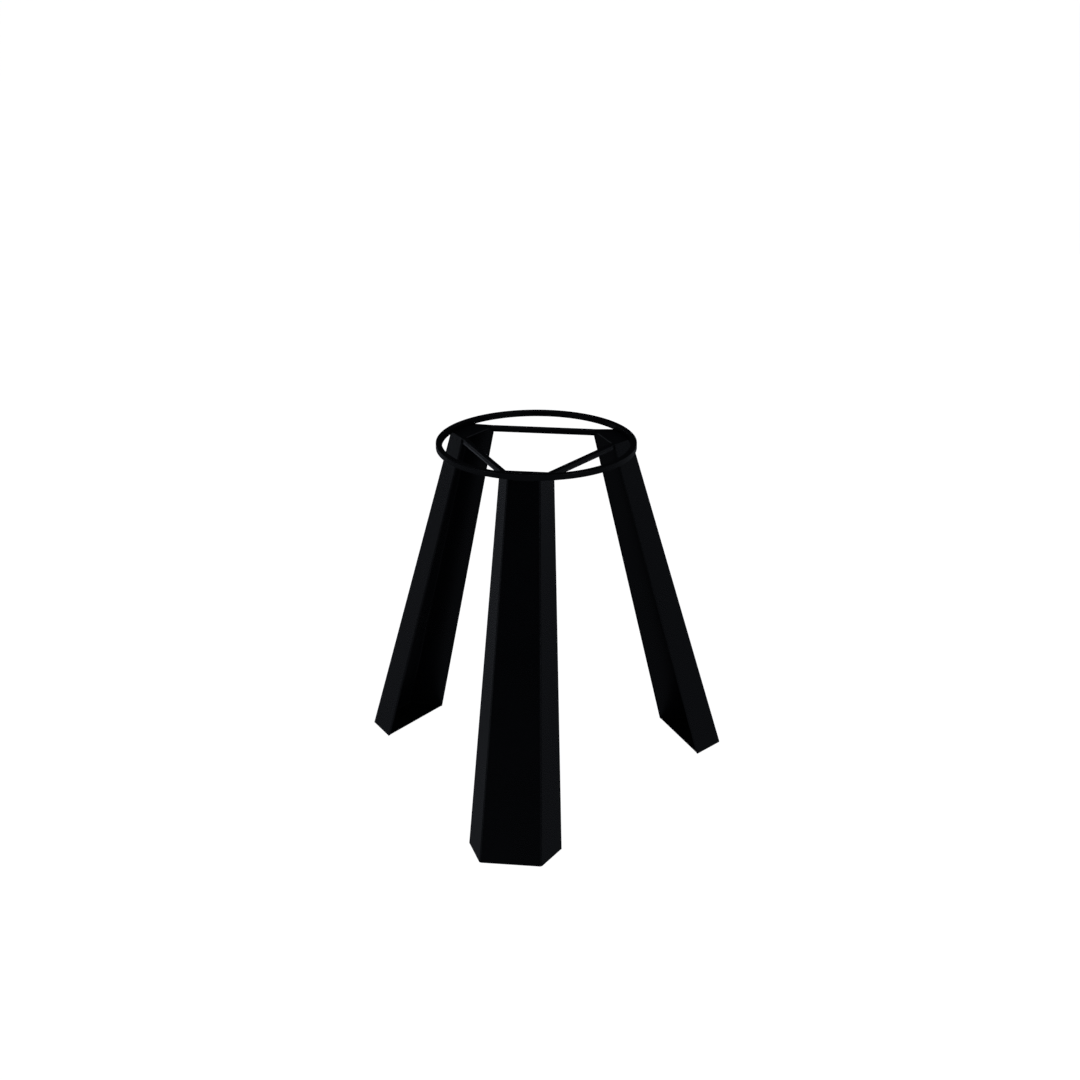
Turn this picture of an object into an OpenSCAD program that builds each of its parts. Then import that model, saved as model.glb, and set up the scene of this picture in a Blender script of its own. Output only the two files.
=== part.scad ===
// Welded three-leg field stand: a flat seat ring on three folded sheet-steel legs.
// Units are millimetres and +Z is up. The origin lies on the ring's axis, level with its top face.
// The front leg points along -Y, the right leg 30 degrees and the left leg 150 degrees from +X.

/* [Overall] */
// Height from the floor to the top face of the seat ring
stand_h = 600; // [360:10:760]
// Outside diameter of the seat ring
ring_od = 330; // [250:5:420]

/* [Seat ring] */
// Radial width of the flat ring
ring_w = 10; // [7:0.5:20]
// Thickness of the flat ring
ring_t = 9; // [4:0.5:14]
// Eased edge around the outside of the ring
ring_edge = 0.6; // [0.2:0.1:1.5]

/* [Legs] */
// Distance from the axis to the outer face of a leg at the floor
foot_reach = 336; // [230:2:420]
// How far the ring reaches past the outer face of each leg at the top
ring_lip = 4; // [3:0.5:8]
// Width of a leg's outer face at the floor
web_foot_w = 100; // [60:1:140]
// Width of a leg's outer face at the top
web_top_w = 52; // [40:1:70]
// Depth of a leg from outer face to open side at the floor, level with the ground
foot_depth = 58; // [40:1:90]
// Depth of a leg from outer face to open side at the top, level with the ground
top_depth = 40; // [28:1:60]
// Angle each side flange opens away from square, seen from above
flange_splay = 23.7; // [10:0.1:40]
// Thickness of the folded sheet and of the plates that close each leg
sheet = 3; // [2:0.25:5]

/* [Crossbars] */
// Width of the bars that tie the leg tops together
bar_w = 8; // [5:0.5:14]
// Height of the same bars
bar_h = 8.5; // [5:0.5:14]

/* [Welds] */
// Radius of the fillet welds inside the legs
seam_r = 2.5; // [1:0.25:4]
// Radius of the weld under the overhanging lip of the ring
lip_weld_r = 2.25; // [1:0.25:3]
// Radius of the welds at the bar ends
bar_weld_r = 2; // [1:0.25:3]

/* [Output] */
// Which sub-part to draw

/* [Hidden] */
$fn = 96;
eps = 0.01;
big = 900;
floor_z = -stand_h;
leg_top_z = -ring_t;
ring_r = ring_od / 2;
bore_r = ring_r - ring_w;
top_reach = ring_r - ring_lip;
splay_rise = tan(flange_splay);
// Corners of one leg in its own frame: x away from the axis, y sideways.
web_foot = [foot_reach, web_foot_w / 2, floor_z];
web_top = [top_reach, web_top_w / 2, leg_top_z];
lip_foot = [foot_reach - foot_depth, web_foot_w / 2 + foot_depth * splay_rise, floor_z];
lip_top = [top_reach - top_depth, web_top_w / 2 + top_depth * splay_rise, leg_top_z];
// Outward directions of the leg's sloping faces.
web_n = unit([leg_top_z - floor_z, 0, foot_reach - top_reach]);
mouth_n = unit([floor_z - leg_top_z, 0, lip_top[0] - lip_foot[0]]);
flange_n = unit(cross(lip_foot - web_foot, web_top - web_foot));
// The bars run between the open-side corners of neighbouring legs.
bar_out = lip_top[0] * cos(60) + lip_top[1] * sin(60);
bar_half = lip_top[0] * sin(60) - lip_top[1] * cos(60);
front_az = -90;
right_az = 30;
left_az = 150;
steel = [0.10, 0.105, 0.115];
weld_steel = [0.14, 0.145, 0.155];

function unit(v) = v / norm(v);
function mirrored(v) = [v[0], -v[1], v[2]];
function along(a, b, f) = a + (b - a) * f;

// Everything on the inner side of a plane through p that faces along n.
module behind(p, n) {
    translate(p)
        rotate([0, acos(n[2]), atan2(n[1], n[0])])
            translate([-big, -big, -2 * big])
                cube([2 * big, 2 * big, 2 * big]);
}

// A straight round rod from a to b.
module rod(a, b, r) {
    d = b - a;
    translate(a)
        rotate([0, acos(d[2] / norm(d)), atan2(d[1], d[0])])
            cylinder(h = norm(d), r = r);
}

// The wedge a leg fills, its outer face and flanges moved in by inset.
module leg_wedge(inset) {
    intersection() {
        behind(web_foot - web_n * inset, web_n);
        behind(web_foot - flange_n * inset, flange_n);
        behind(mirrored(web_foot - flange_n * inset), mirrored(flange_n));
    }
}

// The same wedge closed by the open side of the leg.
module leg_block(inset) {
    intersection() {
        leg_wedge(inset);
        behind(lip_foot, mouth_n);
    }
}

// A level slice of space between two heights.
module slab(low, high) {
    translate([-big, -big, low]) cube([2 * big, 2 * big, high - low]);
}

// Folded sheet channel: outer web with two splayed flanges, open towards the axis.
module leg() {
    difference() {
        intersection() {
            leg_block(0);
            slab(floor_z, leg_top_z);
        }
        leg_wedge(sheet);
    }
}

module plate(low) {
    intersection() {
        leg_block(sheet);
        slab(low, low + sheet);
    }
}

// Where the inner faces of web and flange meet at a given height.
function inner_corner(z) =
    let (f = (z - floor_z) / (leg_top_z - floor_z),
        wide = along(web_foot_w, web_top_w, f) / 2,
        reach = along(foot_reach, top_reach, f),
        x = reach - sheet / web_n[0] ,
        side = sheet / norm([flange_n[0], flange_n[1]]))
    [x, wide + (reach - x) * splay_rise - side / cos(flange_splay), z];

// Where the inner face of the flange meets the open side at a given height.
function inner_lip(z) =
    let (f = (z - floor_z) / (leg_top_z - floor_z),
        c = inner_corner(z),
        x = along(lip_foot[0], lip_top[0], f))
    [x, c[1] + (c[0] - x) * splay_rise, z];

// Fillet weld around the seam between a plate and the inside of its leg.
module plate_seam(z, low, high) {
    corner = inner_corner(z);
    run_end = along(corner, inner_lip(z), 0.86);
    past_start = corner - unit(run_end - corner) * 2 * seam_r;
    past_end = corner + [0, 2 * seam_r, 0];
    intersection() {
        union() {
            rod(mirrored(past_end), past_end, seam_r);
            rod(past_start, run_end, seam_r);
            rod(mirrored(past_start), mirrored(run_end), seam_r);
        }
        leg_wedge(sheet);
        slab(low, high);
    }
}

module ring_seam() {
    half = web_top_w * 0.33;
    difference() {
        intersection() {
            rod([top_reach, -half, leg_top_z], [top_reach, half, leg_top_z], lip_weld_r);
            slab(leg_top_z - 2 * lip_weld_r, leg_top_z);
        }
        behind(web_foot, web_n);
    }
}

// Square bar on its own azimuth, its ends cut to the open sides of both legs.
module crossbar_at(az) {
    difference() {
        rotate([0, 0, az])
            translate([bar_out - bar_w, -bar_half - 3 * bar_w, leg_top_z - bar_h])
                cube([bar_w, 2 * bar_half + 6 * bar_w, bar_h]);
        for (a = [az - 60, az + 60])
            rotate([0, 0, a]) behind(lip_foot, mouth_n);
    }
}

// Weld bead on the outer corner where a bar meets the free edge of a flange.
module bar_bead(az, side) {
    leg_az = az + 60 * side;
    foot = side > 0 ? mirrored(lip_foot) : lip_foot;
    top = side > 0 ? mirrored(lip_top) : lip_top;
    run = bar_h / (leg_top_z - floor_z);
    difference() {
        intersection() {
            rotate([0, 0, leg_az])
                rod(along(top, foot, run * -0.6), along(top, foot, run * 1.6), bar_weld_r);
            slab(leg_top_z - bar_h, leg_top_z);
        }
        rotate([0, 0, leg_az]) leg_block(0);
        rotate([0, 0, az])
            translate([-big, -big, -big]) cube([big + bar_out, 2 * big, 2 * big]);
    }
}

module on_leg(az) {
    rotate([0, 0, az]) children();
}

module seat_ring() {
    color(steel)
        rotate_extrude()
            polygon([[bore_r, -ring_t], [ring_r - ring_edge, -ring_t],
                [ring_r, ring_edge - ring_t], [ring_r, -ring_edge],
                [ring_r - ring_edge, 0], [bore_r, 0]]);
}

module leg_front() { color(steel) on_leg(front_az) leg(); }
module leg_right() { color(steel) on_leg(right_az) leg(); }
module leg_left() { color(steel) on_leg(left_az) leg(); }

module top_plate_front() { color(steel) on_leg(front_az) plate(leg_top_z - sheet); }
module top_plate_right() { color(steel) on_leg(right_az) plate(leg_top_z - sheet); }
module top_plate_left() { color(steel) on_leg(left_az) plate(leg_top_z - sheet); }

module foot_plate_front() { color(steel) on_leg(front_az) plate(floor_z); }
module foot_plate_right() { color(steel) on_leg(right_az) plate(floor_z); }
module foot_plate_left() { color(steel) on_leg(left_az) plate(floor_z); }

module crossbar_right() { color(steel) crossbar_at(-30); }
module crossbar_back() { color(steel) crossbar_at(90); }
module crossbar_left() { color(steel) crossbar_at(210); }

module ring_weld_front() { color(weld_steel) on_leg(front_az) ring_seam(); }
module ring_weld_right() { color(weld_steel) on_leg(right_az) ring_seam(); }
module ring_weld_left() { color(weld_steel) on_leg(left_az) ring_seam(); }

module top_seam() {
    plate_seam(leg_top_z - sheet, leg_top_z - sheet - 2 * seam_r, leg_top_z - sheet);
}
module top_plate_weld_front() { color(weld_steel) on_leg(front_az) top_seam(); }
module top_plate_weld_right() { color(weld_steel) on_leg(right_az) top_seam(); }
module top_plate_weld_left() { color(weld_steel) on_leg(left_az) top_seam(); }

module foot_seam() {
    plate_seam(floor_z + sheet, floor_z + sheet, floor_z + sheet + 2 * seam_r);
}
module foot_plate_weld_front() { color(weld_steel) on_leg(front_az) foot_seam(); }
module foot_plate_weld_right() { color(weld_steel) on_leg(right_az) foot_seam(); }
module foot_plate_weld_left() { color(weld_steel) on_leg(left_az) foot_seam(); }

module bar_weld_right_near() { color(weld_steel) bar_bead(-30, -1); }
module bar_weld_right_far() { color(weld_steel) bar_bead(-30, 1); }
module bar_weld_back_near() { color(weld_steel) bar_bead(90, -1); }
module bar_weld_back_far() { color(weld_steel) bar_bead(90, 1); }
module bar_weld_left_near() { color(weld_steel) bar_bead(210, 1); }
module bar_weld_left_far() { color(weld_steel) bar_bead(210, -1); }

seat_ring();
leg_front();
leg_right();
leg_left();
top_plate_front();
top_plate_right();
top_plate_left();
foot_plate_front();
foot_plate_right();
foot_plate_left();
crossbar_right();
crossbar_back();
crossbar_left();
ring_weld_front();
ring_weld_right();
ring_weld_left();
top_plate_weld_front();
top_plate_weld_right();
top_plate_weld_left();
foot_plate_weld_front();
foot_plate_weld_right();
foot_plate_weld_left();
bar_weld_right_near();
bar_weld_right_far();
bar_weld_back_near();
bar_weld_back_far();
bar_weld_left_near();
bar_weld_left_far();
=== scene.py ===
"""Looks of a welded three-leg field stand: a flat hoop on three folded channel legs, all powder coated black.

The CAD model is the fixed frame. Every piece here stands in for CAD nodes of the same size and place.
Each leg has its own frame: "out" runs away from the hoop's axis and "side" runs across the leg.
"""

import math

import bmesh
import bpy
from mathutils import Matrix, Vector


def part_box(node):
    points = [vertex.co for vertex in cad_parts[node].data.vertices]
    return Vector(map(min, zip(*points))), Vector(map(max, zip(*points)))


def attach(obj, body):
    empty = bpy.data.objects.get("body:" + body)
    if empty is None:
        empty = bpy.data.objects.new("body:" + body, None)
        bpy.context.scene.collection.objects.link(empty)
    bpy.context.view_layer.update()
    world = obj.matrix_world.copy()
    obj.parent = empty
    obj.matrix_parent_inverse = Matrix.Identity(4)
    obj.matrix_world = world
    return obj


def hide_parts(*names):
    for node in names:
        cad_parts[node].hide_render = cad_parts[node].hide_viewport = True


MM = 0.001

# Sizes in millimetres, as in the part's source.
FOOT_REACH = 336.0  # axis to a leg's outer face at the floor
RING_LIP = 4.0  # how far the hoop overhangs each leg's outer face
WEB_FOOT_W = 100.0
WEB_TOP_W = 52.0
FOOT_DEPTH = 58.0
TOP_DEPTH = 40.0
FLANGE_SPLAY = math.radians(23.7)
SHEET = 3.0
BAR_W = 8.0
BAR_H = 8.5

# Finishing sizes that the solids leave out.
FOLD_R = 1.8  # outside radius of a pressed fold
FOLD_INNER_R = 0.8
CUT_EASE = 0.45  # softened edge of a sheared sheet under its coat
HOOP_EASE = 0.5
BAR_EASE = 0.6
PLATE_EASE = 0.4
SEAM_R = 2.2  # bead round the inside of a plate
LIP_WELD_R = 2.0  # bead under the hoop's overhang
BAR_WELD_R = 1.6
LIP_WELD_SHARE = 0.64  # of the web's top width
SEAM_SHARE = 0.85  # of a flange's depth that a plate's bead runs along
LIP_WELD_DROP = 0.2  # bead's middle below the hoop
BAR_WELD_INSET = 0.8  # bead's ends in from the bar's top and bottom

# How finely the round shapes are cut.
HOOP_STEPS = 288
HOOP_CORNER_STEPS = 4
FOLD_STEPS = 5
BAR_CORNER_STEPS = 4
BEAD_SIDES = 12
RIPPLE_RISE = 0.6  # power that gives a ripple its quick rise and slow fall

# Azimuth of each leg and of the middle of each bar, in degrees from +X.
LEGS = {"front": -90.0, "right": 30.0, "left": 150.0}
BARS = {"right": -30.0, "back": 90.0, "left": 210.0}
BAR_ENDS = {"right": ("near", "far"), "back": ("near", "far"), "left": ("far", "near")}
HALF_GAP = 60.0  # degrees from a bar's middle to the legs it ties

# The coat: deep and light tones of one satin black, and how rough its smooth and dull patches are.
SHEET_TONES = ((0.0053, 0.0060, 0.0077), (0.0067, 0.0077, 0.0098))
HOOP_TONES = ((0.0048, 0.0053, 0.0067), (0.0060, 0.0067, 0.0086))
WELD_TONES = ((0.0034, 0.0038, 0.0048), (0.0046, 0.0050, 0.0062))
HIGH_SPOT_LIFT = 2.2  # how much lighter the grain's high spots are than the light tone
FLOOR_DUST = (0.09, 0.095, 0.1)
# Light grey painted along folds and cut edges as a highlight.
EDGE_HIGHLIGHT = (0.07, 0.073, 0.08)
SATIN = (0.22, 0.30)
HOOP_SATIN = (0.20, 0.28)
WELD_SATIN = (0.5, 0.6)

# The studio. Floor and backdrop are pale to the eye and dim to the coat.
COOL_TINT = (0.84, 0.91, 1.05)
FLOOR_REACH = 60.0  # metres
FLOOR_DROP = 0.0004  # metres between the soles and the floor, so that the two never flicker
FLOOR_SEEN = 0.9
FLOOR_GLOW = 1.0
FLOOR_THROWN = 0.061
BACKDROP_SEEN = 1.0
BACKDROP_THROWN = 0.006
LIT_POINT = Vector((0, 0, -0.3))  # the middle of the stand
# Each softbox: where it hangs and its two sides, in metres, and its watts.
SOFTBOXES = {
    "left_softbox": ((-3.6, 2.9, -0.3), (2.2, 0.7), 3.2),
    "right_softbox": ((4.2, 2.2, -0.3), (2.2, 0.7), 1.2),
    "front_left_softbox": ((-3.6, -2.9, 0.0), (2.4, 0.8), 5.0),
    "front_right_softbox": ((3.6, -2.9, 0.0), (2.4, 0.8), 5.0),
    "back_softbox": ((0.2, 4.0, -0.4), (3.0, 0.3), 2.0),
    "ceiling_softbox": ((0.0, 0.3, 3.0), (2.5, 2.5), 7.0),
}

# The camera: lens in millimetres, distance from the axis and height above the floor in metres.
LENS = 65.33
CAMERA_DISTANCE = 3.042
CAMERA_HEIGHT = 1.6547
CAMERA_SWING = 7.151  # degrees round to the right of the front leg
CAMERA_TURN = 7.038
CAMERA_DIP = 22.015


# ---------------------------------------------------------------- small helpers


def between(a, b, share):
    return a + (b - a) * share


def turned(azimuth_deg):
    return Matrix.Rotation(math.radians(azimuth_deg), 4, "Z")


def finished(name, mesh, material, nodes, smooth_deg=40.0):
    """Makes a mesh a piece of the object: its finish, its CAD nodes and the body it rides on."""
    mesh.materials.clear()
    mesh.materials.append(material)
    mesh.shade_smooth()
    mesh.set_sharp_from_angle(angle=math.radians(smooth_deg))
    piece = bpy.data.objects.new(name, mesh)
    bpy.context.scene.collection.objects.link(piece)
    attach(piece, "root")
    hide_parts(*nodes)
    return piece


def lofted(name, lower, upper, edge_values, place):
    """Closed mesh between two outlines with the same number of points, given in millimetres."""
    work = bmesh.new()
    # Marks the points along folds and cut edges that get the painted edge highlight.
    edge_lit = work.verts.layers.float.new("edge_highlight")
    rings = []
    for outline in (lower, upper):
        ring = []
        for point, value in zip(outline, edge_values):
            vert = work.verts.new(place @ (Vector(point) * MM))
            vert[edge_lit] = value
            ring.append(vert)
        rings.append(ring)
    count = len(edge_values)
    for i in range(count):
        j = (i + 1) % count
        work.faces.new((rings[0][i], rings[0][j], rings[1][j], rings[1][i]))
    work.faces.new(reversed(rings[0]))
    work.faces.new(rings[1])
    bmesh.ops.recalc_face_normals(work, faces=work.faces)
    mesh = bpy.data.meshes.new(name)
    work.to_mesh(mesh)
    work.free()
    return mesh


def eased_outline(corners, radii, steps, margin):
    """Rounds each corner of a flat outline.

    Returns the points and how exposed each is: 1 on a rounded corner, 0 on the flats.
    A point at each side of a corner, margin away, keeps the flats flat when they are shaded.
    """
    points, exposed = [], []
    count = len(corners)
    for i, (corner, radius) in enumerate(zip(corners, radii)):
        here = Vector(corner)
        before = (Vector(corners[i - 1]) - here).normalized()
        after = (Vector(corners[(i + 1) % count]) - here).normalized()
        half = before.angle(after) / 2
        run = radius / math.tan(half)
        centre = here + (before + after).normalized() * (radius / math.sin(half))
        start, end = here + before * run - centre, here + after * run - centre
        points.append(here + before * (run + margin))
        exposed.append(0.0)
        for k in range(steps + 1):
            points.append(centre + start.slerp(end, k / steps))
            exposed.append(1.0)
        points.append(here + after * (run + margin))
        exposed.append(0.0)
    return points, exposed


# ---------------------------------------------------------------- finishes


def new_group(name, inputs, outputs):
    group = bpy.data.node_groups.new(name, "ShaderNodeTree")
    for label, value in inputs:
        socket = group.interface.new_socket(label, in_out="INPUT", socket_type="NodeSocketFloat")
        socket.default_value = value
    for label in outputs:
        group.interface.new_socket(label, in_out="OUTPUT", socket_type="NodeSocketFloat")
    return group, group.nodes.new("NodeGroupInput"), group.nodes.new("NodeGroupOutput")


def noise(tree, coords, scale, detail=2.0, roughness=0.5):
    node = tree.nodes.new("ShaderNodeTexNoise")
    node.inputs["Detail"].default_value = detail
    node.inputs["Roughness"].default_value = roughness
    tree.links.new(coords, node.inputs["Vector"])
    if isinstance(scale, (int, float)):
        node.inputs["Scale"].default_value = scale
    else:
        tree.links.new(scale, node.inputs["Scale"])
    return node.outputs["Fac"]


def sums(tree, operation, a, b, clamp=False):
    node = tree.nodes.new("ShaderNodeMath")
    node.operation = operation
    node.use_clamp = clamp
    for socket, value in zip(node.inputs, (a, b)):
        if isinstance(value, (int, float)):
            socket.default_value = value
        else:
            tree.links.new(value, socket)
    return node.outputs[0]


def stretched(tree, value, low, high, to_low=0.0, to_high=1.0):
    node = tree.nodes.new("ShaderNodeMapRange")
    tree.links.new(value, node.inputs["Value"])
    for label, number in (("From Min", low), ("From Max", high), ("To Min", to_low), ("To Max", to_high)):
        node.inputs[label].default_value = number
    return node.outputs["Result"]


def powder_grain_group():
    """Fine pebbled skin of a baked powder coat: a height, and a mask of its high spots."""
    tree, given, result = new_group(
        "powder_grain", [("Grain per metre", 900.0), ("Ripple per metre", 120.0)], ["Height", "High spots"]
    )
    coords = tree.nodes.new("ShaderNodeTexCoord").outputs["Object"]
    grain = noise(tree, coords, given.outputs["Grain per metre"], 3.0, 0.6)
    ripple = noise(tree, coords, given.outputs["Ripple per metre"], 1.0, 0.4)
    height = sums(tree, "ADD", sums(tree, "MULTIPLY", grain, 0.65), sums(tree, "MULTIPLY", ripple, 0.35))
    tree.links.new(height, result.inputs["Height"])
    tree.links.new(stretched(tree, grain, 0.42, 0.66), result.inputs["High spots"])
    return tree


def handling_group():
    """Where the coat has been handled, wiped or dusted: broad soft patches, more of them near the floor."""
    tree, given, result = new_group(
        "handling",
        [("Patch per metre", 9.0), ("Floor height", -0.6), ("Dust reach", 0.22)],
        ["Patches", "Dust"],
    )
    coords = tree.nodes.new("ShaderNodeTexCoord").outputs["Object"]
    patches = noise(tree, coords, given.outputs["Patch per metre"], 4.0, 0.55)
    tree.links.new(stretched(tree, patches, 0.32, 0.7), result.inputs["Patches"])
    split = tree.nodes.new("ShaderNodeSeparateXYZ")
    tree.links.new(coords, split.inputs[0])
    above = sums(tree, "SUBTRACT", split.outputs["Z"], given.outputs["Floor height"])
    share = sums(tree, "DIVIDE", above, given.outputs["Dust reach"], clamp=True)
    low = sums(tree, "POWER", sums(tree, "SUBTRACT", 1.0, share, clamp=True), 1.6)
    specks = stretched(tree, noise(tree, coords, 260.0, 4.0, 0.7), 0.45, 0.72)
    mottled = sums(tree, "ADD", sums(tree, "MULTIPLY", specks, 0.6), 0.4)
    tree.links.new(sums(tree, "MULTIPLY", low, mottled, clamp=True), result.inputs["Dust"])
    return tree


def edge_highlight_group():
    """Painted highlight along folds and cut edges, broken up so that no edge is lit evenly."""
    tree, given, result = new_group("edge_highlight", [("Break up per metre", 70.0)], ["Wear"])
    coords = tree.nodes.new("ShaderNodeTexCoord").outputs["Object"]
    marked = tree.nodes.new("ShaderNodeAttribute")
    marked.attribute_name = "edge_highlight"
    broken = stretched(tree, noise(tree, coords, given.outputs["Break up per metre"], 5.0, 0.65), 0.38, 0.62)
    tree.links.new(sums(tree, "MULTIPLY", marked.outputs["Fac"], broken, clamp=True), result.inputs["Wear"])
    return tree


def placed(tree, group, values):
    node = tree.nodes.new("ShaderNodeGroup")
    node.node_tree = group
    for label, value in values.items():
        node.inputs[label].default_value = value
    return node


def mixed(tree, share, a, b):
    node = tree.nodes.new("ShaderNodeMix")
    node.data_type = "RGBA"
    tree.links.new(share, node.inputs["Factor"])
    for label, value in (("A", a), ("B", b)):
        socket = [s for s in node.inputs if s.name == label and s.type == "RGBA"][0]
        if isinstance(value, tuple):
            socket.default_value = (*value, 1.0)
        else:
            tree.links.new(value, socket)
    return [s for s in node.outputs if s.type == "RGBA"][0]


def coated_steel(name, tones, satin, grain_per_metre, bump_mm, highlight):
    """Satin black powder coat in two tones, with a roughness for its smooth and its dull patches, and a painted
    highlight along folds and cut edges.
    """
    deep, light = tones
    smooth, dull = satin
    material = bpy.data.materials.new(name)
    material.use_nodes = True
    tree = material.node_tree
    shader = tree.nodes["Principled BSDF"]
    skin = placed(tree, GROUPS["powder_grain"], {"Grain per metre": grain_per_metre})
    handled = placed(tree, GROUPS["handling"], {})
    edges = placed(tree, GROUPS["edge_highlight"], {})
    coat = mixed(tree, handled.outputs["Patches"], deep, light)
    lifted = tuple(channel * HIGH_SPOT_LIFT for channel in light)
    pebbled = mixed(tree, sums(tree, "MULTIPLY", skin.outputs["High spots"], 0.8), coat, lifted)
    dusted = mixed(tree, sums(tree, "MULTIPLY", handled.outputs["Dust"], 0.05), pebbled, FLOOR_DUST)
    # Painted highlight: lighter grey along the folds and cut edges, broken up along its length.
    highlit = mixed(tree, sums(tree, "MULTIPLY", edges.outputs["Wear"], highlight), dusted, EDGE_HIGHLIGHT)
    tree.links.new(highlit, shader.inputs["Base Color"])
    spread = sums(tree, "MULTIPLY", handled.outputs["Patches"], dull - smooth)
    pitted = sums(tree, "MULTIPLY", skin.outputs["High spots"], 0.05)
    tree.links.new(
        sums(tree, "ADD", sums(tree, "ADD", spread, pitted), smooth, clamp=True), shader.inputs["Roughness"]
    )
    bump = tree.nodes.new("ShaderNodeBump")
    bump.inputs["Strength"].default_value = 0.55
    bump.inputs["Distance"].default_value = bump_mm * MM
    tree.links.new(skin.outputs["Height"], bump.inputs["Height"])
    tree.links.new(bump.outputs["Normal"], shader.inputs["Normal"])
    shader.inputs["Metallic"].default_value = 0.0
    shader.inputs["Specular IOR Level"].default_value = 0.5
    return material


# ---------------------------------------------------------------- Geometry Nodes


def node_tree(name, inputs):
    """A Geometry Nodes tree with a Geometry socket each way and the named inputs."""
    tree = bpy.data.node_groups.new(name, "GeometryNodeTree")
    tree.interface.new_socket("Geometry", in_out="INPUT", socket_type="NodeSocketGeometry")
    for label, kind, value in inputs:
        socket = tree.interface.new_socket(label, in_out="INPUT", socket_type=kind)
        if value is not None:
            socket.default_value = value
    tree.interface.new_socket("Geometry", in_out="OUTPUT", socket_type="NodeSocketGeometry")
    return tree, tree.nodes.new("NodeGroupInput"), tree.nodes.new("NodeGroupOutput")


def grown(name, source_mesh, tree, values):
    """Runs a Geometry Nodes tree on a mesh and returns the plain mesh that comes out."""
    carrier = bpy.data.objects.new(name + "_path", source_mesh)
    bpy.context.scene.collection.objects.link(carrier)
    modifier = carrier.modifiers.new("grow", "NODES")
    modifier.node_group = tree
    sockets = {s.name: s.identifier for s in tree.interface.items_tree if s.in_out == "INPUT"}
    for label, value in values.items():
        modifier[sockets[label]] = value
    depsgraph = bpy.context.evaluated_depsgraph_get()
    depsgraph.update()
    mesh = bpy.data.meshes.new_from_object(carrier.evaluated_get(depsgraph))
    mesh.name = name
    carrier.modifiers.remove(modifier)
    bpy.data.objects.remove(carrier)
    return mesh


def hoop_tree():
    """Flat hoop: a rounded rectangle run round a circle."""
    size = "NodeSocketFloat"
    tree, given, result = node_tree(
        "flat_hoop",
        [
            ("Middle radius", size, 0.16),
            ("Width", size, 0.01),
            ("Thickness", size, 0.009),
            ("Ease", size, 0.0009),
            ("Height of middle", size, -0.0045),
            ("Material", "NodeSocketMaterial", None),
        ],
    )
    add, link = tree.nodes.new, tree.links.new
    circle = add("GeometryNodeCurvePrimitiveCircle")
    circle.inputs["Resolution"].default_value = HOOP_STEPS
    link(given.outputs["Middle radius"], circle.inputs["Radius"])
    lift = add("GeometryNodeTransform")
    offset = add("ShaderNodeCombineXYZ")
    link(given.outputs["Height of middle"], offset.inputs["Z"])
    link(offset.outputs[0], lift.inputs["Translation"])
    link(circle.outputs["Curve"], lift.inputs["Geometry"])
    section = add("GeometryNodeCurvePrimitiveQuadrilateral")
    link(given.outputs["Width"], section.inputs["Width"])
    link(given.outputs["Thickness"], section.inputs["Height"])
    rounded = add("GeometryNodeFilletCurve")
    rounded.mode = "POLY"
    rounded.inputs["Count"].default_value = HOOP_CORNER_STEPS
    link(section.outputs["Curve"], rounded.inputs["Curve"])
    link(given.outputs["Ease"], rounded.inputs["Radius"])
    swept = add("GeometryNodeCurveToMesh")
    link(lift.outputs["Geometry"], swept.inputs["Curve"])
    link(rounded.outputs["Curve"], swept.inputs["Profile Curve"])
    painted = add("GeometryNodeSetMaterial")
    link(given.outputs["Material"], painted.inputs["Material"])
    real = add("GeometryNodeRealizeInstances")
    link(swept.outputs["Mesh"], real.inputs["Geometry"])
    link(real.outputs["Geometry"], painted.inputs["Geometry"])
    link(painted.outputs["Geometry"], result.inputs["Geometry"])
    return tree


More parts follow.
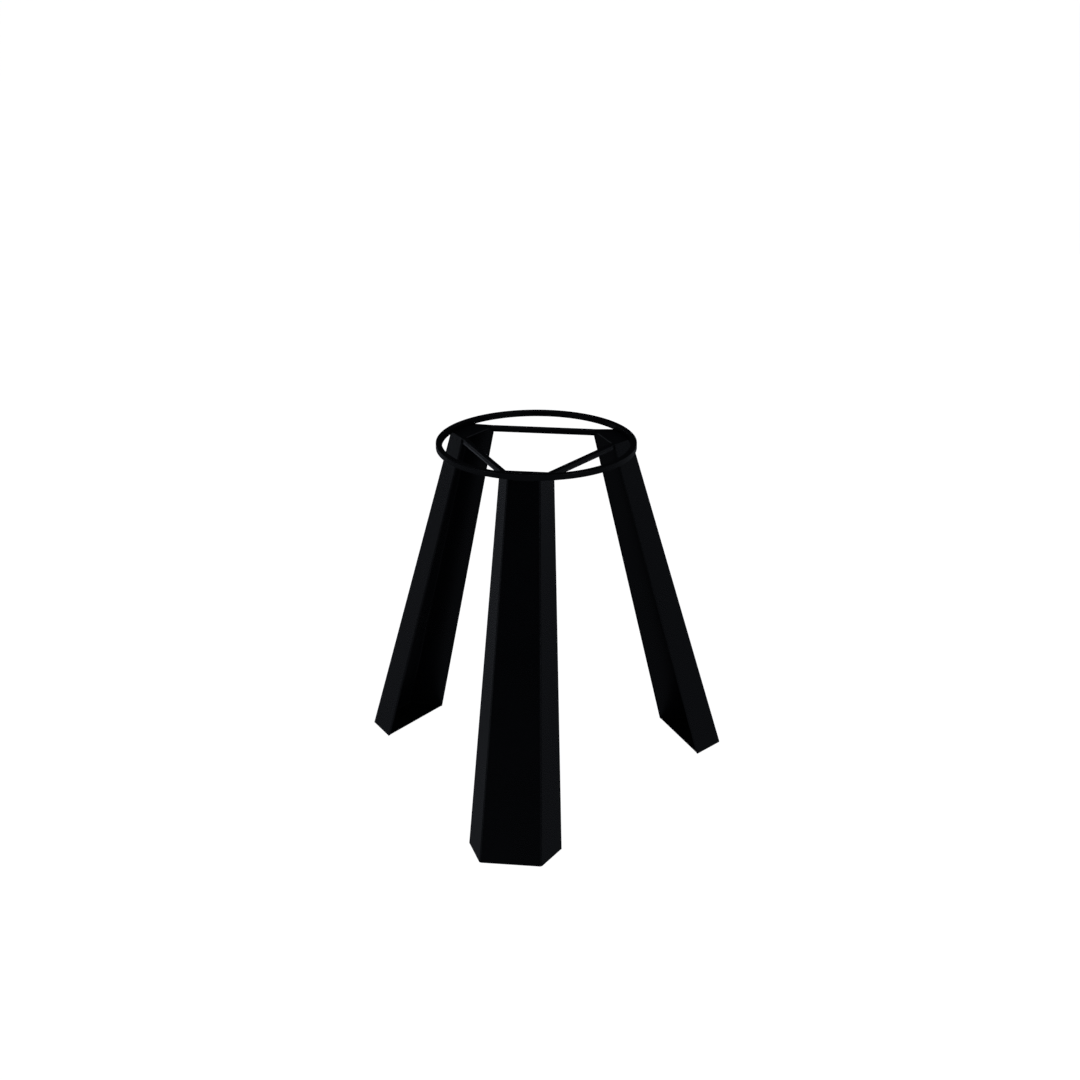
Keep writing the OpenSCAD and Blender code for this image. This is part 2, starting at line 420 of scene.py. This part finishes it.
def weld_tree():
    """Rippled weld bead along every edge path of the mesh it is given."""
    size = "NodeSocketFloat"
    tree, given, result = node_tree(
        "weld_bead",
        [
            ("Bead radius", size, 0.002),
            ("Ripple spacing", size, 0.0022),
            ("Ripple share", size, 0.1),
            ("Wander share", size, 0.12),
            ("Step", size, 0.0004),
            ("Material", "NodeSocketMaterial", None),
        ],
    )
    add, link = tree.nodes.new, tree.links.new
    path = add("GeometryNodeMeshToCurve")
    link(given.outputs["Geometry"], path.inputs["Mesh"])
    stepped = add("GeometryNodeResampleCurve")
    stepped.mode = "LENGTH"
    link(path.outputs["Curve"], stepped.inputs["Curve"])
    link(given.outputs["Step"], stepped.inputs["Length"])
    along = add("GeometryNodeSplineParameter").outputs["Length"]
    turns = sums(tree, "DIVIDE", along, given.outputs["Ripple spacing"])
    # Each pass of the torch leaves a crescent: a quick rise, then a slow fall.
    crescent = sums(tree, "POWER", sums(tree, "FRACT", turns, 0.0), RIPPLE_RISE)
    centred = sums(tree, "SUBTRACT", crescent, RIPPLE_RISE)
    ripple = sums(tree, "MULTIPLY", centred, given.outputs["Ripple share"])
    wander_noise = add("ShaderNodeTexNoise")
    wander_noise.inputs["Scale"].default_value = 60.0
    wander = sums(tree, "SUBTRACT", wander_noise.outputs["Fac"], 0.5)
    wander = sums(tree, "MULTIPLY", wander, given.outputs["Wander share"])
    swell = sums(tree, "ADD", 1.0, sums(tree, "ADD", ripple, wander))
    section = add("GeometryNodeCurvePrimitiveCircle")
    section.inputs["Resolution"].default_value = BEAD_SIDES
    section.inputs["Radius"].default_value = 1.0
    swept = add("GeometryNodeCurveToMesh")
    swept.inputs["Fill Caps"].default_value = True
    link(stepped.outputs["Curve"], swept.inputs["Curve"])
    link(section.outputs["Curve"], swept.inputs["Profile Curve"])
    link(sums(tree, "MULTIPLY", swell, given.outputs["Bead radius"]), swept.inputs["Scale"])
    real = add("GeometryNodeRealizeInstances")
    link(swept.outputs["Mesh"], real.inputs["Geometry"])
    painted = add("GeometryNodeSetMaterial")
    link(real.outputs["Geometry"], painted.inputs["Geometry"])
    link(given.outputs["Material"], painted.inputs["Material"])
    link(painted.outputs["Geometry"], result.inputs["Geometry"])
    return tree


# ---------------------------------------------------------------- leg geometry


class Leg:
    """Sizes of one leg at any height, in millimetres and in the leg's own frame."""

    def __init__(self, hoop_r, top_z, floor_z):
        self.top_z, self.floor_z = top_z, floor_z
        self.top_reach = hoop_r - RING_LIP
        rise = top_z - floor_z
        web_lean = (FOOT_REACH - self.top_reach) / rise
        self.web_skin = SHEET * math.hypot(1.0, web_lean)
        # The flange's level direction and the slope of its top-to-bottom edge give its true face.
        across = Vector((-math.cos(FLANGE_SPLAY), math.sin(FLANGE_SPLAY), 0.0))
        edge = Vector((self.top_reach - FOOT_REACH, (WEB_TOP_W - WEB_FOOT_W) / 2, rise))
        face = across.cross(edge).normalized()
        self.flange_skin = SHEET / math.hypot(face.x, face.y)

    def share(self, z):
        return (z - self.floor_z) / (self.top_z - self.floor_z)

    def web_out(self, z):
        return between(FOOT_REACH, self.top_reach, self.share(z))

    def web_half(self, z):
        return between(WEB_FOOT_W, WEB_TOP_W, self.share(z)) / 2

    def mouth_out(self, z):
        return between(FOOT_REACH - FOOT_DEPTH, self.top_reach - TOP_DEPTH, self.share(z))

    def half_at(self, z, out, inset=0.0):
        """Half width of the leg at a distance from the axis, measured to a face inset by a skin."""
        return (
            self.web_half(z)
            + (self.web_out(z) - out) * math.tan(FLANGE_SPLAY)
            - inset / math.cos(FLANGE_SPLAY)
        )

    def outline(self, z):
        """The folded sheet's section: outer faces first, then back along the inner faces."""
        web, mouth = self.web_out(z), self.mouth_out(z)
        inner_web = web - self.web_skin
        outer = [(mouth, self.half_at(z, mouth)), (web, self.web_half(z))]
        inner = [
            (inner_web, self.half_at(z, inner_web, self.flange_skin)),
            (mouth, self.half_at(z, mouth, self.flange_skin)),
        ]
        corners = [(x, -y) for x, y in outer] + [(x, y) for x, y in reversed(outer)]
        corners += [(x, y) for x, y in reversed(inner)] + [(x, -y) for x, y in inner]
        radii = [CUT_EASE, FOLD_R, FOLD_R, CUT_EASE, CUT_EASE, FOLD_INNER_R, FOLD_INNER_R, CUT_EASE]
        points, exposed = eased_outline(corners, radii, steps=FOLD_STEPS, margin=0.6)
        return [(p.x, p.y, z) for p in points], exposed

    def inner_corner(self, z):
        out = self.web_out(z) - self.web_skin
        return Vector((out, self.half_at(z, out, self.flange_skin), z))

    def inner_mouth(self, z):
        out = self.mouth_out(z)
        return Vector((out, self.half_at(z, out, self.flange_skin), z))


def build_leg(leg, side, azimuth):
    lower, exposed = leg.outline(leg.floor_z)
    upper, _ = leg.outline(leg.top_z)
    mesh = lofted("folded_leg_" + side, lower, upper, exposed, turned(azimuth))
    return finished("folded_leg_" + side, mesh, FINISH["sheet"], ["leg_" + side])


def build_crossbar(leg, side, azimuth):
    """Square bar with drawn corners, its ends mitred to the open sides of both legs."""
    top = leg.top_z
    corner_out, corner_side = leg.mouth_out(top), leg.half_at(top, leg.mouth_out(top))
    mitre = math.radians(HALF_GAP)
    face = corner_out * math.cos(mitre) + corner_side * math.sin(mitre)
    corners = [(face - BAR_W, top - BAR_H), (face, top - BAR_H), (face, top), (face - BAR_W, top)]
    points, exposed = eased_outline(corners, [BAR_EASE] * 4, steps=BAR_CORNER_STEPS, margin=0.5)
    ends = ([], [])
    for out, z in points:
        reach = (leg.mouth_out(z) - out * math.cos(mitre)) / math.sin(mitre)
        ends[0].append((out, -reach, z))
        ends[1].append((out, reach, z))
    name = "crossbar_" + side + "_drawn"
    mesh = lofted(name, ends[0], ends[1], exposed, turned(azimuth))
    return finished(name, mesh, FINISH["bar"], ["crossbar_" + side])


def build_plate(node):
    """A CAD plate with its cut edges softened, as they are under a coat."""
    work = bmesh.new()
    work.from_mesh(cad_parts[node].data)
    bmesh.ops.remove_doubles(work, verts=work.verts, dist=1e-6)
    bmesh.ops.dissolve_limit(work, angle_limit=0.01, verts=work.verts, edges=work.edges)
    bmesh.ops.bevel(
        work, geom=list(work.edges), offset=PLATE_EASE * MM, segments=2, affect="EDGES", clamp_overlap=True
    )
    bmesh.ops.recalc_face_normals(work, faces=work.faces)
    name = node + "_eased"
    mesh = bpy.data.meshes.new(name)
    work.to_mesh(mesh)
    work.free()
    return finished(name, mesh, FINISH["sheet"], [node], smooth_deg=25.0)


def seam_path(name, runs, place):
    """A mesh of edges only, one chain for each run of points."""
    verts, edges = [], []
    for run in runs:
        first = len(verts)
        verts += [place @ (Vector(p) * MM) for p in run]
        edges += [(first + i, first + i + 1) for i in range(len(run) - 1)]
    mesh = bpy.data.meshes.new(name)
    mesh.from_pydata(verts, edges, [])
    return mesh


def build_bead(name, runs, place, radius_mm, node):
    path = seam_path(name + "_seam", runs, place)
    values = {"Bead radius": radius_mm * MM, "Material": FINISH["weld"]}
    mesh = grown(name, path, TREES["weld"], values)
    return finished(name, mesh, FINISH["weld"], [node], smooth_deg=70.0)


def mirrored(point):
    return Vector((point[0], -point[1], point[2]))


def build_leg_beads(leg, side, azimuth):
    place = turned(azimuth)
    half = WEB_TOP_W * LIP_WELD_SHARE / 2
    lip_z = leg.top_z - LIP_WELD_DROP
    lip = [(leg.top_reach, -half, lip_z), (leg.top_reach, half, lip_z)]
    build_bead("lip_bead_" + side, [lip], place, LIP_WELD_R, "ring_weld_" + side)
    for label, z in (("top", leg.top_z - SHEET), ("foot", leg.floor_z + SHEET)):
        corner, mouth = leg.inner_corner(z), leg.inner_mouth(z)
        end = corner.lerp(mouth, SEAM_SHARE)
        run = [mirrored(end), mirrored(corner), corner, end]
        build_bead(f"{label}_bead_{side}", [run], place, SEAM_R, f"{label}_plate_weld_{side}")


def build_bar_beads(leg, side, azimuth):
    """A short bead down each outer corner where a bar meets a flange's free edge."""
    for end, lean in zip(BAR_ENDS[side], (-1, 1)):
        place = turned(azimuth + HALF_GAP * lean)
        run = []
        for z in (leg.top_z - BAR_WELD_INSET, leg.top_z - BAR_H + BAR_WELD_INSET):
            out = leg.mouth_out(z)
            run.append((out, -lean * leg.half_at(z, out), z))
        build_bead(f"bar_bead_{side}_{end}", [run], place, BAR_WELD_R, f"bar_weld_{side}_{end}")


def build_hoop(hoop_r, bore_r, top, bottom):
    values = {
        "Middle radius": (hoop_r + bore_r) / 2 * MM,
        "Width": (hoop_r - bore_r) * MM,
        "Thickness": (top - bottom) * MM,
        "Ease": HOOP_EASE * MM,
        "Height of middle": (top + bottom) / 2 * MM,
        "Material": FINISH["ring"],
    }
    mesh = grown("seat_hoop", bpy.data.meshes.new("hoop_start"), TREES["hoop"], values)
    work = bmesh.new()
    work.from_mesh(mesh)
    bmesh.ops.recalc_face_normals(work, faces=work.faces)
    work.to_mesh(mesh)
    work.free()
    return finished("seat_hoop", mesh, FINISH["ring"], ["seat_ring"], smooth_deg=10.0)


# ---------------------------------------------------------------- stage


def two_faced(tree, out, thrown, seen):
    """Shows one shader to the camera and another to everything that the light bounces off."""
    choice = tree.nodes.new("ShaderNodeMixShader")
    path = tree.nodes.new("ShaderNodeLightPath")
    tree.links.new(path.outputs["Is Camera Ray"], choice.inputs["Fac"])
    tree.links.new(thrown.outputs[0], choice.inputs[1])
    tree.links.new(seen.outputs[0], choice.inputs[2])
    tree.links.new(choice.outputs[0], out.inputs["Surface"])


def pale_floor():
    material = bpy.data.materials.new("pale_floor")
    material.use_nodes = True
    tree = material.node_tree
    tree.nodes.clear()
    add = tree.nodes.new
    shaded, glow, seen = add("ShaderNodeBsdfDiffuse"), add("ShaderNodeEmission"), add("ShaderNodeAddShader")
    shaded.inputs["Color"].default_value = (FLOOR_SEEN, FLOOR_SEEN, FLOOR_SEEN, 1.0)
    glow.inputs["Strength"].default_value = FLOOR_GLOW
    tree.links.new(shaded.outputs[0], seen.inputs[0])
    tree.links.new(glow.outputs[0], seen.inputs[1])
    thrown = add("ShaderNodeEmission")
    thrown.inputs["Color"].default_value = (*COOL_TINT, 1.0)
    thrown.inputs["Strength"].default_value = FLOOR_THROWN
    two_faced(tree, add("ShaderNodeOutputMaterial"), thrown, seen)
    return material


def build_floor(floor_z):
    mesh = bpy.data.meshes.new("studio_floor")
    corners = ((-1, -1), (1, -1), (1, 1), (-1, 1))
    z = floor_z * MM - FLOOR_DROP
    mesh.from_pydata([(x * FLOOR_REACH, y * FLOOR_REACH, z) for x, y in corners], [], [(0, 1, 2, 3)])
    mesh.materials.append(pale_floor())
    floor = bpy.data.objects.new("studio_floor", mesh)
    bpy.context.scene.collection.objects.link(floor)


def hang_softboxes():
    """Low soft lights all round at knee height, and one soft light overhead."""
    for name, (place, size, watts) in SOFTBOXES.items():
        light = bpy.data.lights.new(name, "AREA")
        light.shape = "RECTANGLE"
        light.size, light.size_y = size
        light.energy = watts
        light.color = COOL_TINT
        lamp = bpy.data.objects.new(name, light)
        lamp.location = place
        lamp.rotation_euler = (LIT_POINT - Vector(place)).to_track_quat("-Z", "Y").to_euler()
        bpy.context.scene.collection.objects.link(lamp)


def hang_backdrop():
    world = bpy.data.worlds.new("studio")
    world.use_nodes = True
    tree = world.node_tree
    dim, pale = tree.nodes["Background"], tree.nodes.new("ShaderNodeBackground")
    dim.inputs["Color"].default_value = (*COOL_TINT, 1.0)
    dim.inputs["Strength"].default_value = BACKDROP_THROWN
    pale.inputs["Color"].default_value = (1.0, 1.0, 1.0, 1.0)
    pale.inputs["Strength"].default_value = BACKDROP_SEEN
    two_faced(tree, tree.nodes["World Output"], dim, pale)
    bpy.context.scene.world = world


def camera_on_object(floor_z):
    """Eye level of a standing person, three metres back and a little to the right."""
    lens = bpy.data.cameras.new("camera")
    lens.sensor_width = 36.0
    lens.lens = LENS
    lens.clip_end = 200.0
    camera = bpy.data.objects.new("camera", lens)
    swing = math.radians(CAMERA_SWING)
    away = Vector((math.sin(swing), -math.cos(swing), 0.0)) * CAMERA_DISTANCE
    camera.location = (away.x, away.y, CAMERA_HEIGHT + floor_z * MM)
    camera.rotation_euler = (math.radians(90 - CAMERA_DIP), 0.0, math.radians(CAMERA_TURN))
    bpy.context.scene.collection.objects.link(camera)
    bpy.context.scene.camera = camera
    bpy.context.scene.view_settings.view_transform = "Standard"


# ---------------------------------------------------------------- build

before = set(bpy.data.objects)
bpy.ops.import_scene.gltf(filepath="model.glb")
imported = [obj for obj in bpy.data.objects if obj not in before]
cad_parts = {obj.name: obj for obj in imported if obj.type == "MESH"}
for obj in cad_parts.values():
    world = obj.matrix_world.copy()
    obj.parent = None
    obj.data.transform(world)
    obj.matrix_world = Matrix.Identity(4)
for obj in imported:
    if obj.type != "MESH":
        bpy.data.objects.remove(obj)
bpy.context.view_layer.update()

GROUPS = {
    "powder_grain": powder_grain_group(),
    "handling": handling_group(),
    "edge_highlight": edge_highlight_group(),
}
FINISH = {
    "sheet": coated_steel("coated_sheet", SHEET_TONES, SATIN, grain_per_metre=900.0, bump_mm=0.25, highlight=0.02),
    "ring": coated_steel("coated_ring", HOOP_TONES, HOOP_SATIN, grain_per_metre=1000.0, bump_mm=0.2, highlight=0.02),
    "bar": coated_steel("coated_bar", SHEET_TONES, SATIN, grain_per_metre=1000.0, bump_mm=0.2, highlight=0.02),
    "weld": coated_steel("coated_weld", WELD_TONES, WELD_SATIN, grain_per_metre=1100.0, bump_mm=0.3, highlight=0.0),
}
TREES = {"hoop": hoop_tree(), "weld": weld_tree()}

ring_low, ring_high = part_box("seat_ring")
leg_low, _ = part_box("leg_front")
hoop_r = ring_high.x / MM
floor_z = leg_low.z / MM
under_hoop = ring_low.z / MM
bore_r = min(math.hypot(v.co.x, v.co.y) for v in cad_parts["seat_ring"].data.vertices) / MM

leg = Leg(hoop_r, under_hoop, floor_z)
build_hoop(hoop_r, bore_r, ring_high.z / MM, under_hoop)
for side, azimuth in LEGS.items():
    build_leg(leg, side, azimuth)
    build_plate("top_plate_" + side)
    build_plate("foot_plate_" + side)
    build_leg_beads(leg, side, azimuth)
for side, azimuth in BARS.items():
    build_crossbar(leg, side, azimuth)
    build_bar_beads(leg, side, azimuth)

build_floor(floor_z)
hang_softboxes()
hang_backdrop()
camera_on_object(floor_z)
